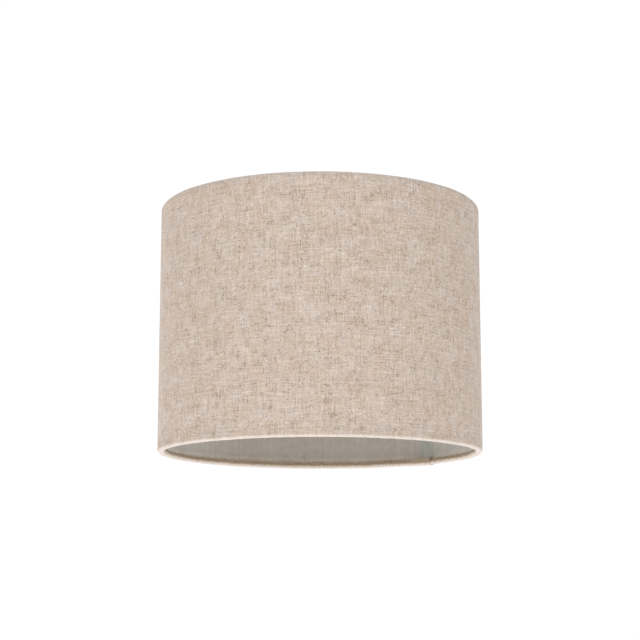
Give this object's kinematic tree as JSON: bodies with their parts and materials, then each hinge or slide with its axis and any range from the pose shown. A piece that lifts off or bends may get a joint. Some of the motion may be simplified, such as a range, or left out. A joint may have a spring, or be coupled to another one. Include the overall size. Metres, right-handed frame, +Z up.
{
  "type": "lamp shade",
  "caption": "Straight drum lamp shade in woven linen on a stiff lining, edges rolled round wire rings, with a spider, fitter ring and lift-out reducer ring for a lampholder.",
  "frame": {"origin": "centre of the bottom rim, on the plane that the rim stands on", "axes": "+Z up along the drum's axis, from the open bottom to the top rim with the spider; -Y is the front that faces the viewer, and the overlap seam is at the back right, between +X and +Y"},
  "size_m": [0.2, 0.2, 0.1535],
  "materials": {
    "linen": "plain woven linen, matt, with slubs",
    "lining": "warm grey-white PVC film, matt",
    "tape": "double-sided tape, semi-clear",
    "wire": "white powder coat",
    "coated_steel": "white powder coat",
    "plastic": "moulded white plastic, satin"
  },
  "bodies": {
    "shade": {"linen_cover": "linen", "pvc_lining": "lining", "seam_tape": "tape", "bottom_ring": "wire", "top_ring": "wire", "bottom_ring_tape": "tape", "top_ring_tape": "tape", "fitter_ring": "coated_steel", "spoke_1": "coated_steel", "spoke_2": "coated_steel", "spoke_3": "coated_steel"},
    "reducer": {"reducer_ring": "plastic"}
  },
  "joints": [
    {"name": "reducer_lift", "type": "slide", "parent": "shade", "child": "reducer", "axis": [0, 0, 1], "range_m": [0, 0.05]}
  ]
}
